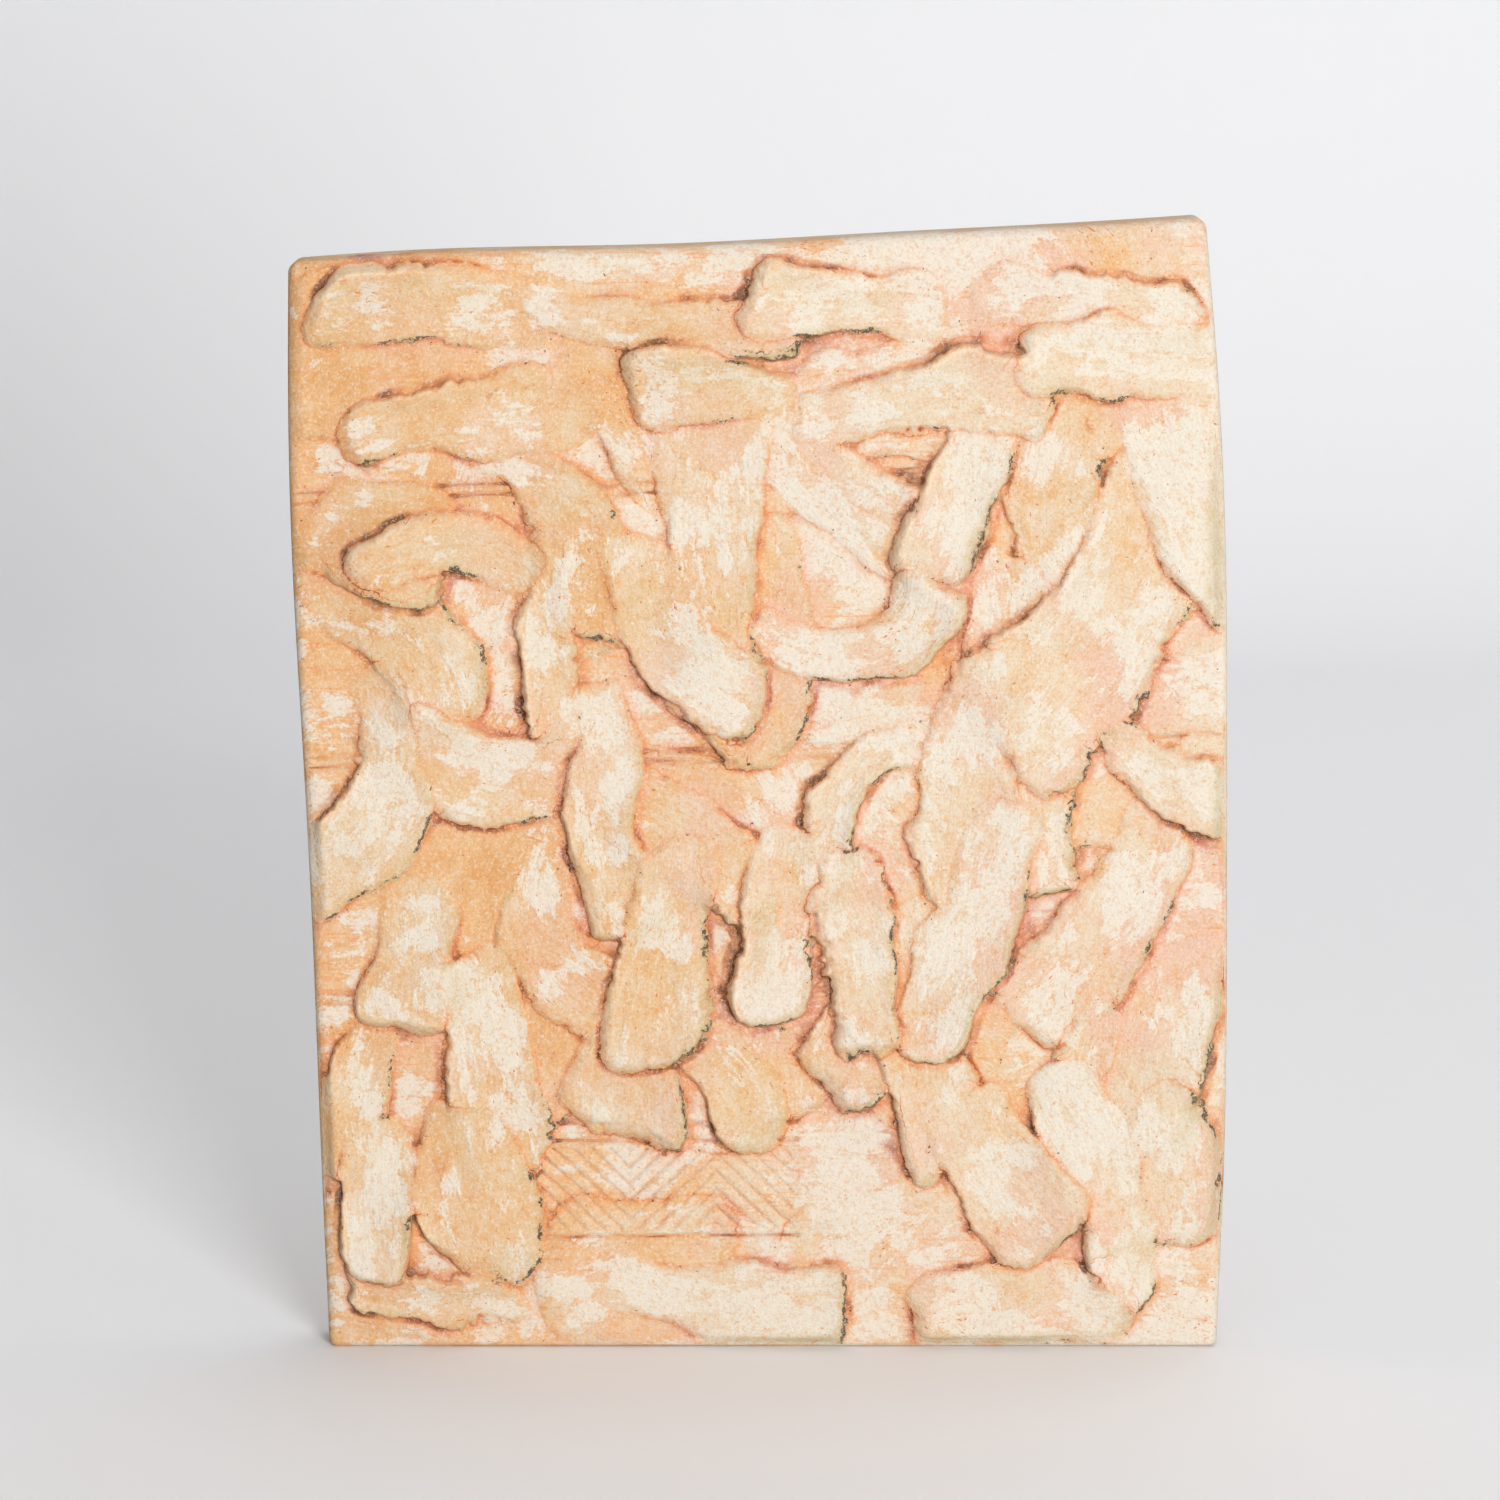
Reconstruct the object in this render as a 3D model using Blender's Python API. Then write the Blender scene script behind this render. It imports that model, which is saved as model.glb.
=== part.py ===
"""A fired clay relief tablet.

An upright slab of clay stands on its narrow underside and faces -Y. Its front is covered with dabs
of soft clay that were pressed on and smeared, so slab and dabs are one fired piece. Sizes are in
millimetres, and the mesh is built in metres.
"""

import math
import random
from collections import namedtuple

import bmesh
import bpy
import numpy as np

METRES = 0.001

# Slab
FOOT_WIDTH = 209.0
TOP_WIDTH = 207.3
LEAN = -6.2  # how far the middle of the top lies to one side of the middle of the foot
HEIGHT = 260.0  # at the middle of the top edge
TOP_RISE = 10.0  # how much higher the top's right end is than its left end
THICKNESS = 15.0
EDGE_ROUND = 2.6
FOOT_ROUND = 2.0
FOOT_FADE = 15.0  # how far up the sides the small rounding of the foot grows into that of the edges
LEFT_BOWS = (-1.1, 0.7, -0.4)  # waves of one, two and three half periods along the edge
RIGHT_BOWS = (4.3, -0.4, 0.5)
TOP_BOWS = (-0.6, 0.35, 0.3, 0.25)

# Relief
DAB_LENGTH = 52.0
DAB_WIDTH = 20.0
DAB_THICKNESS = 2.6
SKIN_LENGTH = 58.0
SKIN_WIDTH = 34.0
SKIN_THICKNESS = 0.9
BAND_LENGTH = 50.0
BAND_WIDTH = 18.5
SCATTER = 7.5
WANDER = 3.2  # how far a dab's outline strays from a smooth one
CRUMB = 3.2
RAGGED = 1.55  # how far a torn edge goes in and out
KINK = 0.9  # how far every edge turns in and out, in longer stretches
DENT = 0.5
STROKE_WIDTH = 1.7
STROKE_DEPTH = 0.12
EDGE_SLOPE = 0.6  # width of a dab's flank where it is steep; it is up to six times as wide elsewhere
END_SLOPE = 2.4  # how much wider the flank is round a dab's thick end
FEATHER = 1.6  # slope of a dab's thin start
SOFT_SLOPE = 1.4
PRESS_REACH = 6.0  # how far round each point the clay below gives way
UNEVEN = 0.5
UNEVEN_LENGTH = 30.0
PLAIN_HEIGHT = 4.2  # piled dabs flatten above this
MOST_PILED = 2.2
BORDER = 1.0  # bare rim of the slab's front
BORDER_FADE = 3.0
RULED_LINES = (0.79, 0.55, 0.33)  # as shares of the height
RULED_GAP = 2.4
GROOVE_DEPTH = 0.8
GROOVE_WIDTH = 0.6
FRIEZE_PLACE = (-0.16, 0.15)  # middle of the hatched band, as shares of the width and height
FRIEZE_LENGTH = 76.0
FRIEZE_HEIGHT = 20.0
HATCH_PITCH = 4.2
SEED = 10

# Mesh
PITCH = 1.2  # spacing of the face's points before they are thinned out
TRIANGLES = 9300

PANEL_WIDTH = (FOOT_WIDTH + TOP_WIDTH) / 2

Dab = namedtuple("Dab", "x z heading length width bend thickness taper tilt tear lip slant roundness comb softness")
Kind = namedtuple("Kind", "odds headings length width bend thickness taper")

UPRIGHT = Kind(0.44, (-90, -90, -84, -97), 1.0, 1.0, 0.0, 1.0, 0.3)
SLANTING = Kind(0.14, (-55, -130, -35), 0.96, 1.0, 0.8, 1.0, 0.3)
CRESCENT = Kind(0.18, (-60, -120, 180, 0), 1.08, 0.95, 1.9, 1.0, 0.35)
PELLET = Kind(0.08, (-90, -45, -135, 0), 0.62, 1.3, 0.0, 1.05, 0.15)
SWIPE = Kind(0.16, (-90, -60, -120, -30), 1.25, 1.5, 0.6, 0.85, 0.6)
KINDS = (UPRIGHT, SLANTING, CRESCENT, PELLET, SWIPE)
LEVEL = Kind(0.0, (0, 180), 1.0, 1.0, 0.0, 1.0, 0.3)
FAN = ((-0.43, -95), (-0.33, -82), (0.27, -60), (0.37, -74), (0.44, -88))  # place and heading
FAN_HEIGHT = 0.15


def ease(x):
    x = np.clip(x, 0, 1)
    return x * x * (3 - 2 * x)


def noise(x, z, size, seed):
    """Smooth lumps of the given size, from -1 to 1."""
    table = np.random.RandomState(seed).uniform(-1, 1, (256, 256))
    u, v = x / size + 37.7, z / size + 11.3
    i, j = np.floor(u).astype(int), np.floor(v).astype(int)
    across, up = ease(u - i), ease(v - j)
    low = table[i % 256, j % 256] * (1 - across) + table[(i + 1) % 256, j % 256] * across
    high = table[i % 256, (j + 1) % 256] * (1 - across) + table[(i + 1) % 256, (j + 1) % 256] * across
    return low * (1 - up) + high * up


def blur(heights, radius, pitch):
    """Three running averages each way, close to a round blur."""
    reach = max(1, round(radius / pitch))
    for axis in (0, 1, 0, 1, 0, 1):
        ends = [(0, 0), (0, 0)]
        ends[axis] = (reach + 1, reach)
        sums = np.cumsum(np.pad(heights, ends, mode="edge"), axis=axis)
        count = heights.shape[axis]
        last = np.take(sums, np.arange(2 * reach + 1, 2 * reach + 1 + count), axis=axis)
        first = np.take(sums, np.arange(count), axis=axis)
        heights = (last - first) / (2 * reach + 1)
    return heights


def along_dab(x, z, dab):
    """Each point's place along the bent middle line of the dab, and to the side of it."""
    turn = math.radians(dab.heading)
    ahead = (x - dab.x) * math.cos(turn) + (z - dab.z) * math.sin(turn)
    aside = (z - dab.z) * math.cos(turn) - (x - dab.x) * math.sin(turn)
    bend = dab.bend if abs(dab.bend) > 0.05 else 0.05
    hand = math.copysign(1, bend)
    radius = dab.length / abs(bend)
    place = radius * np.arctan2(ahead, radius - aside * hand)
    side = radius - np.hypot(ahead, radius - aside * hand)
    return place, side * hand


def dab_outline(x, z, dab, n):
    """Distance outside the dab's ragged edge, and each point's place along and across the dab."""
    shift, turn = 31.0 * n, 17.0 * n
    long, short = 1.1 * DAB_WIDTH, 0.42 * DAB_WIDTH
    loose_x = x + WANDER * (noise(x + shift, z, long, 1) + 0.43 * noise(x + shift, z, short, 2))
    loose_z = z + WANDER * (noise(x + shift, z, long, 3) + 0.43 * noise(x + shift, z, short, 4))
    place, side = along_dab(loose_x, loose_z, dab)
    place = place + dab.slant * side
    share = np.clip(place / dab.length + 0.5, 0, 1)
    half = dab.width / 2 * (1 - dab.taper * (1 - ease(share * 1.3)))
    corner = half * dab.roundness
    past_end = np.abs(place) - (dab.length / 2 - corner)
    past_side = np.abs(side) - (half - corner)
    outside = np.hypot(np.maximum(past_end, 0), np.maximum(past_side, 0)) - corner
    outside = outside + np.minimum(np.maximum(past_end, past_side), 0)
    torn = dab.tear * (0.35 + 0.65 * ease(0.4 + 1.2 * noise(x + shift, z + turn, 0.85 * DAB_WIDTH, 7)))
    crumbs = 0.5 - np.abs(noise(x + shift, z + turn, CRUMB, 20))
    outside = outside + torn * RAGGED * (crumbs + 0.45 * noise(x, z, 0.44 * CRUMB, 31))
    outside = outside + KINK * (0.5 - np.abs(noise(x + turn, z + shift, 0.42 * DAB_WIDTH, 21)))
    outside = outside + 0.14 * RAGGED * noise(x, z, 0.34 * CRUMB, 33)
    return outside, share, place, np.clip(side / half, -1, 1), side, torn


def lay_dab(heights, x, z, dab, n, pitch):
    """Press one dab on: thin where it starts, thick where it ends, flattening what it covers."""
    reach = dab.length / 2 + dab.width
    columns = np.flatnonzero(np.abs(x[0] - dab.x) < reach)
    rows = np.flatnonzero(np.abs(z[:, 0] - dab.z) < reach)
    if len(columns) < 3 or len(rows) < 3:
        return
    near = np.s_[rows[0] : rows[-1] + 1, columns[0] : columns[-1] + 1]
    x, z, old = x[near], z[near], heights[near]
    shift, turn = 31.0 * n, 17.0 * n
    outside, share, place, across, side, torn = dab_outline(x, z, dab, n)
    rise = ease(share * 1.3)
    body = dab.thickness * (0.08 + 0.92 * rise) * (1 + dab.tilt * across) * (0.76 + 0.24 * across**2)
    dents = noise(x + shift, z + turn, 0.6 * DAB_WIDTH, 40)
    dents = DENT * (dents + 0.38 * noise(x + turn, z + shift, 0.25 * DAB_WIDTH, 41))
    strokes = STROKE_DEPTH * (0.4 + dab.comb) * noise(side, place / 14 + n, STROKE_WIDTH, 50)
    body = body + (dents + strokes) * (0.3 + 0.7 * rise)
    rim = np.exp(-((outside / RAGGED + 1.2) ** 2))
    lip = np.exp(-(((dab.length / 2 - place) / (0.14 * DAB_WIDTH) - 1) ** 2))
    body = body + dab.thickness * (0.14 * torn * rim + dab.lip * lip)
    patches = ease(0.5 + noise(x + shift, z + turn, 1.2 * DAB_WIDTH, 8))
    loose = ease(0.15 + 1.3 * noise(x + turn, z + shift, 0.8 * DAB_WIDTH, 9))
    slope = EDGE_SLOPE * (1 + 5 * loose**2) * (1 + 0.8 * dab.tilt * across)
    slope = slope + END_SLOPE * ease(2.5 * share - 1.5) * (0.4 + patches)
    slope = slope + FEATHER * (1 - ease(share * 2.2))
    slope = slope + SOFT_SLOPE * dab.softness * patches
    inward = np.clip(-outside / slope, 0, 1)
    cover = 0.45 * np.sqrt(inward * (2 - inward)) + 0.55 * (1 - (1 - inward) ** 1.5)
    pressed = blur(old, PRESS_REACH, pitch)
    pressed = pressed + 0.35 * (blur(old, 0.27 * PRESS_REACH, pitch) - pressed) * (1 - 0.5 * rise)
    heights[near] = old * (1 - cover) + (pressed + body) * cover


def scattered(rng, kind, x, z, length, width, thickness, scatter, turn, tear, lip, softness):
    """A dab of the given kind near the given place, no two alike."""
    return Dab(
        x + rng.uniform(-scatter, scatter),
        z + rng.uniform(-scatter, scatter),
        rng.choice(kind.headings) + rng.uniform(-turn, turn),
        length * kind.length * rng.uniform(0.72, 1.3),
        width * kind.width * rng.uniform(0.78, 1.34),
        kind.bend * rng.choice((-1, 1)) + rng.uniform(-0.35, 0.35),
        thickness * kind.thickness * rng.triangular(0.45, 1.6, 0.7),
        kind.taper * rng.uniform(0.0, 1.6),
        rng.uniform(-0.8, 0.8),
        tear * rng.uniform(0.3, 1.4),
        lip * rng.uniform(0.0, 1.8),
        rng.uniform(-0.3, 0.3),
        rng.uniform(0.5, 1.0),
        rng.random() ** 2,
        softness * rng.random(),
    )


def laid_dabs():
    """Thin skins, then courses of thick dabs and the borders, each in the order they were pressed on."""
    rng = random.Random(SEED)
    skins = []
    for row in range(5):
        for column in range(4):
            x = (-0.38 + column * 0.25 + (row % 2) * 0.08) * PANEL_WIDTH
            z = (0.1 + row * 0.2) * HEIGHT
            kind = rng.choice((UPRIGHT, SLANTING, LEVEL))
            size = (SKIN_LENGTH, SKIN_WIDTH, SKIN_THICKNESS)
            skins.append(scattered(rng, kind, x, z, *size, 1.8 * SCATTER, 25, 0.5, 0.02, 1.6))
    courses = []
    for row in range(5):
        for column in range(8 - row % 2):
            x = (-0.44 + (column + 0.5 * (row % 2)) * 0.126) * PANEL_WIDTH
            z = (0.77 - row * 0.128) * HEIGHT
            kind = rng.choices(KINDS, [kind.odds for kind in KINDS])[0]
            size = (DAB_LENGTH, DAB_WIDTH, DAB_THICKNESS)
            courses.append(scattered(rng, kind, x, z, *size, SCATTER, 16, 0.9, 0.3, 0.8))
    rng.shuffle(courses)
    borders = []
    for count, height, offset in ((4, 0.945, 0.0), (4, 0.87, 0.07), (3, 0.045, -0.05)):
        for n in range(count):
            x = ((n + 0.5) / count - 0.5 + offset) * 0.94 * PANEL_WIDTH
            size = (BAND_LENGTH, BAND_WIDTH, DAB_THICKNESS)
            spot = (x, height * HEIGHT)
            borders.append(scattered(rng, LEVEL, *spot, *size, 0.6 * SCATTER, 8, 0.8, 0.15, 0.8))
    for x, heading in FAN:
        kind = UPRIGHT._replace(headings=(heading,))
        spot = (x * PANEL_WIDTH, FAN_HEIGHT * HEIGHT)
        size = (DAB_LENGTH, DAB_WIDTH, DAB_THICKNESS)
        borders.append(scattered(rng, kind, *spot, *size, 0.6 * SCATTER, 6, 0.8, 0.15, 0.8))
    rng.shuffle(borders)
    return skins, courses + borders


def bare_ground(x, z):
    return UNEVEN * (noise(x, z, UNEVEN_LENGTH, 90) + 0.4 * noise(x, z, 0.3 * UNEVEN_LENGTH, 91))


def ruled_depth(x, z):
    """How deep the ruled double lines and the hatched band are pressed in."""
    grooves = np.zeros_like(x)
    for share in RULED_LINES:
        off_line = z - share * HEIGHT - UNEVEN * noise(x, z, 2 * UNEVEN_LENGTH, 93)
        for side in (-0.5, 0.5):
            grooves += np.exp(-(((off_line - side * RULED_GAP) / GROOVE_WIDTH) ** 2))
    along = x - FRIEZE_PLACE[0] * PANEL_WIDTH
    up = z - FRIEZE_PLACE[1] * HEIGHT
    inside = (np.abs(along) < FRIEZE_LENGTH / 2) & (np.abs(up) < FRIEZE_HEIGHT / 2)
    peaks = FRIEZE_HEIGHT * np.abs((along / FRIEZE_HEIGHT) % 2 - 1)
    grooves += np.where(inside & (np.cos(2 * np.pi * (up + peaks) / HATCH_PITCH) > 0.5), 0.55, 0)
    for edge in (-0.58, 0.58, 0.8):
        rule = np.exp(-(((up - edge * FRIEZE_HEIGHT) / GROOVE_WIDTH) ** 2))
        grooves += rule * (np.abs(along) < 0.52 * FRIEZE_LENGTH)
    return GROOVE_DEPTH * grooves


def relief(pitch):
    """Heights over the slab's face on a square grid of the given pitch."""
    x, z = np.meshgrid(
        np.arange(-PANEL_WIDTH / 2, PANEL_WIDTH / 2 + pitch, pitch),
        np.arange(0, HEIGHT + pitch, pitch),
    )
    heights = bare_ground(x, z)
    skins, dabs = laid_dabs()
    for n, dab in enumerate(skins):
        lay_dab(heights, x, z, dab, n, pitch)
    heights -= ruled_depth(x, z)
    for n, dab in enumerate(dabs, len(skins)):
        lay_dab(heights, x, z, dab, n, pitch)
    piled = PLAIN_HEIGHT + MOST_PILED * np.tanh((heights - PLAIN_HEIGHT) / MOST_PILED)
    return np.where(heights > PLAIN_HEIGHT, piled, heights)


def read_grid(grid, x, z, pitch):
    """Values of a grid at any points of the face, by straight lines between its four nearest."""
    u = np.clip((x + PANEL_WIDTH / 2) / pitch, 0, grid.shape[1] - 1.001)
    v = np.clip(z / pitch, 0, grid.shape[0] - 1.001)
    i, j = u.astype(int), v.astype(int)
    u, v = u - i, v - j
    low = grid[j, i] * (1 - u) + grid[j, i + 1] * u
    high = grid[j + 1, i] * (1 - u) + grid[j + 1, i + 1] * u
    return low * (1 - v) + high * v


def bows(share, heights):
    return sum(height * np.sin((n + 1) * np.pi * share) for n, height in enumerate(heights))


def to_outline(x, z):
    """From the square panel to the slab's real outline, which leans and waves a little."""
    across, up = x / PANEL_WIDTH + 0.5, z / HEIGHT
    left = -FOOT_WIDTH / 2 + (LEAN + (FOOT_WIDTH - TOP_WIDTH) / 2) * up + bows(up, LEFT_BOWS)
    right = FOOT_WIDTH / 2 + (LEAN - (FOOT_WIDTH - TOP_WIDTH) / 2) * up + bows(up, RIGHT_BOWS)
    height = HEIGHT + TOP_RISE * (across - 0.5) + bows(across, TOP_BOWS)
    return left + (right - left) * across, height * up


def slab_points(unit, heights, pitch):
    """Points of a unit box moved to the rounded slab with the relief on its front."""
    size = np.array((PANEL_WIDTH, THICKNESS, HEIGHT))
    square = (unit + (0, 0, 0.5)) * size
    radius = FOOT_ROUND + (EDGE_ROUND - FOOT_ROUND) * ease(square[:, 2:] / FOOT_FADE)
    low, high = (-0.5, -0.5, 0) * size, (0.5, 0.5, 1) * size
    core = np.clip(square, low + radius, high - radius)
    away = square - core
    x, y, z = (core + radius * away / np.linalg.norm(away, axis=1, keepdims=True)).T
    rim = np.minimum(PANEL_WIDTH / 2 - np.abs(x), np.minimum(z, HEIGHT - z))
    front = (unit[:, 1] < -0.499) * ease((rim - BORDER) / BORDER_FADE)
    y = y - front * read_grid(heights, x, z, pitch)
    x, z = to_outline(x, z)
    return np.stack((x, y, z), axis=1)


def unit_box(pitch):
    """A closed box one unit a side, its faces cut into rows as wide as the pitch on the real slab."""
    box = bmesh.new()
    bmesh.ops.create_cube(box, size=1.0)
    for axis, side in enumerate((PANEL_WIDTH, THICKNESS, HEIGHT)):
        whole = [edge for edge in box.edges if abs(edge.verts[0].co[axis] - edge.verts[1].co[axis]) > 0.5]
        bmesh.ops.subdivide_edges(box, edges=whole, cuts=round(side / pitch) - 1, use_grid_fill=True)
    return box


def make_tablet(collection):
    mesh = bpy.data.meshes.new("relief_tablet")
    box = unit_box(PITCH)
    box.to_mesh(mesh)
    box.free()
    unit = np.empty(len(mesh.vertices) * 3)
    mesh.vertices.foreach_get("co", unit)
    points = slab_points(unit.reshape(-1, 3), relief(PITCH), PITCH) * METRES
    mesh.vertices.foreach_set("co", points.ravel())
    mesh.update()
    mesh.shade_smooth()
    tablet = bpy.data.objects.new("relief_tablet", mesh)
    collection.objects.link(tablet)
    fewer = tablet.modifiers.new("fewer faces", "DECIMATE")
    fewer.ratio = TRIANGLES / (2 * len(mesh.polygons))
    return tablet


def clay():
    material = bpy.data.materials.new("fired clay")
    material.use_nodes = True
    surface = material.node_tree.nodes["Principled BSDF"]
    surface.inputs["Base Color"].default_value = (0.86, 0.68, 0.50, 1)
    surface.inputs["Roughness"].default_value = 0.85
    surface.inputs["Metallic"].default_value = 0.0
    return material


def main():
    for old in list(bpy.data.objects):
        bpy.data.objects.remove(old, do_unlink=True)
    collection = bpy.data.collections.new("clay relief tablet")
    bpy.context.scene.collection.children.link(collection)
    tablet = make_tablet(collection)
    tablet.data.materials.append(clay())


main()
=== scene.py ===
import math
import random
from collections import namedtuple

import bmesh
import bpy
import numpy as np
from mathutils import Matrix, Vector


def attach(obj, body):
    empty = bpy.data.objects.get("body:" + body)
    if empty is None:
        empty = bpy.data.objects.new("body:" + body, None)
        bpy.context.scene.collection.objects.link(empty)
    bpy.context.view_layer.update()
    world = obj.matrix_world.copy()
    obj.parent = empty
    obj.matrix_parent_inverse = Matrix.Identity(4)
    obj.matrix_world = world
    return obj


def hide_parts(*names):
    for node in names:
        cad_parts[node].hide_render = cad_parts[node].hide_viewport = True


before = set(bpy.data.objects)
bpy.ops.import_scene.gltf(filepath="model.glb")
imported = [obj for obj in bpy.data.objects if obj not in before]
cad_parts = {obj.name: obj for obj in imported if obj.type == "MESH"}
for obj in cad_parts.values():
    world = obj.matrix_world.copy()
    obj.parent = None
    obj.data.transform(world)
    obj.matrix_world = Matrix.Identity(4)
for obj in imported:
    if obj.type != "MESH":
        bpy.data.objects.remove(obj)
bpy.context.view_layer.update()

# Fired clay tablet
# The real piece is a slab of white earthenware, about 15 mm thick, with dabs of the same soft clay
# pressed and smeared on its front with a thumb. It was fired unglazed, washed with stains, wiped
# back and rubbed with white slip and charcoal. All of it is one piece, and sizes here are in mm.

METRES = 0.001

FOOT_WIDTH = 209.0
TOP_WIDTH = 207.3
LEAN = -6.2  # how far the middle of the top lies to one side of the middle of the foot
HEIGHT = 260.0  # at the middle of the top edge
TOP_RISE = 10.0  # how much higher the top's right end is than its left end
THICKNESS = 15.0
EDGE_ROUND = 2.6  # radius of the slab's edges
FOOT_ROUND = 2.0  # the same at its foot
FOOT_FADE = 15.0  # height over which one radius goes over to the other
LEFT_BOWS = (-1.1, 0.7, -0.4)  # waves of one, two and three half periods along the edge
RIGHT_BOWS = (4.3, -0.4, 0.5)
TOP_BOWS = (-0.6, 0.35, 0.3, 0.25)

DAB_LENGTH = 52.0
DAB_WIDTH = 20.0
DAB_THICKNESS = 2.6
SKIN_LENGTH = 58.0
SKIN_WIDTH = 34.0
SKIN_THICKNESS = 0.9
BAND_LENGTH = 50.0
BAND_WIDTH = 18.5
SCATTER = 7.5  # how far a dab may lie from its place in the course
WANDER = 3.2  # how far a dab's outline strays from a smooth one
CRUMB = 3.2  # size of the crumbs that a torn edge breaks into
RAGGED = 1.55  # how far a torn edge goes in and out
KINK = 0.9  # how far every edge turns in and out, in longer stretches
DENT = 0.5  # depth of the finger's dents
STROKE_WIDTH = 1.7  # of the streaks that the finger leaves along a smear
STROKE_DEPTH = 0.12
EDGE_SLOPE = 0.6  # width of a dab's flank where it is steep; it is up to six times as wide elsewhere
END_SLOPE = 2.4  # how much wider the flank is round a dab's thick end
FEATHER = 1.6  # how much wider the flank is at a dab's thin start
SOFT_SLOPE = 1.4  # how much wider the flank of a soft dab is, in patches
PRESS_REACH = 6.0  # how far round each point the clay below gives way
UNEVEN = 0.5  # how far the bare ground goes up and down
UNEVEN_LENGTH = 30.0  # from one rise of the ground to the next
PLAIN_HEIGHT = 4.2  # piled dabs flatten above this
MOST_PILED = 2.2  # and rise this much more at most
BORDER = 1.0  # bare rim of the slab's front
BORDER_FADE = 3.0  # width over which the relief rises inside it
RULED_LINES = (0.79, 0.55, 0.33)  # as shares of the height
RULED_GAP = 2.4
GROOVE_DEPTH = 0.8
GROOVE_WIDTH = 0.6
FRIEZE_PLACE = (-0.16, 0.15)  # middle of the hatched band, as shares of the width and height
FRIEZE_LENGTH = 76.0
FRIEZE_HEIGHT = 20.0
HATCH_PITCH = 4.2  # spacing of the hatched band's strokes
SEED = 10  # for the layout of the dabs

PANEL_WIDTH = (FOOT_WIDTH + TOP_WIDTH) / 2
PITCH = 0.42  # spacing of the face's points before they are thinned out
TRIANGLES = 190000  # left after that
FAR = 9.0  # distances from a crease are kept up to this

Dab = namedtuple(
    "Dab", "x z heading length width bend thickness taper tilt tear lip slant roundness comb softness"
)
Kind = namedtuple("Kind", "odds headings length width bend thickness taper")

UPRIGHT = Kind(0.44, (-90, -90, -84, -97), 1.0, 1.0, 0.0, 1.0, 0.3)
SLANTING = Kind(0.14, (-55, -130, -35), 0.96, 1.0, 0.8, 1.0, 0.3)
CRESCENT = Kind(0.18, (-60, -120, 180, 0), 1.08, 0.95, 1.9, 1.0, 0.35)
PELLET = Kind(0.08, (-90, -45, -135, 0), 0.62, 1.3, 0.0, 1.05, 0.15)
SWIPE = Kind(0.16, (-90, -60, -120, -30), 1.25, 1.5, 0.6, 0.85, 0.6)
KINDS = (UPRIGHT, SLANTING, CRESCENT, PELLET, SWIPE)
LEVEL = Kind(0.0, (0, 180), 1.0, 1.0, 0.0, 1.0, 0.3)
FAN = ((-0.43, -95), (-0.33, -82), (0.27, -60), (0.37, -74), (0.44, -88))  # place and heading
FAN_HEIGHT = 0.15


def ease(x):
    x = np.clip(x, 0, 1)
    return x * x * (3 - 2 * x)


def noise(x, z, size, seed):
    """Smooth lumps of the given size, from -1 to 1."""
    table = np.random.RandomState(seed).uniform(-1, 1, (256, 256))
    u, v = x / size + 37.7, z / size + 11.3
    i, j = np.floor(u).astype(int), np.floor(v).astype(int)
    across, up = ease(u - i), ease(v - j)
    low = table[i % 256, j % 256] * (1 - across) + table[(i + 1) % 256, j % 256] * across
    high = table[i % 256, (j + 1) % 256] * (1 - across) + table[(i + 1) % 256, (j + 1) % 256] * across
    return low * (1 - up) + high * up


def blur(heights, radius):
    """Three running averages each way, close to a round blur."""
    reach = max(1, round(radius / PITCH))
    for axis in (0, 1, 0, 1, 0, 1):
        ends = [(0, 0), (0, 0)]
        ends[axis] = (reach + 1, reach)
        sums = np.cumsum(np.pad(heights, ends, mode="edge"), axis=axis)
        count = heights.shape[axis]
        last = np.take(sums, np.arange(2 * reach + 1, 2 * reach + 1 + count), axis=axis)
        first = np.take(sums, np.arange(count), axis=axis)
        heights = (last - first) / (2 * reach + 1)
    return heights


def along_dab(x, z, dab):
    """Each point's place along the bent middle line of the dab, and to the side of it."""
    turn = math.radians(dab.heading)
    ahead = (x - dab.x) * math.cos(turn) + (z - dab.z) * math.sin(turn)
    aside = (z - dab.z) * math.cos(turn) - (x - dab.x) * math.sin(turn)
    bend = dab.bend if abs(dab.bend) > 0.05 else 0.05
    hand = math.copysign(1, bend)
    radius = dab.length / abs(bend)
    place = radius * np.arctan2(ahead, radius - aside * hand)
    side = radius - np.hypot(ahead, radius - aside * hand)
    return place, side * hand


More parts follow.
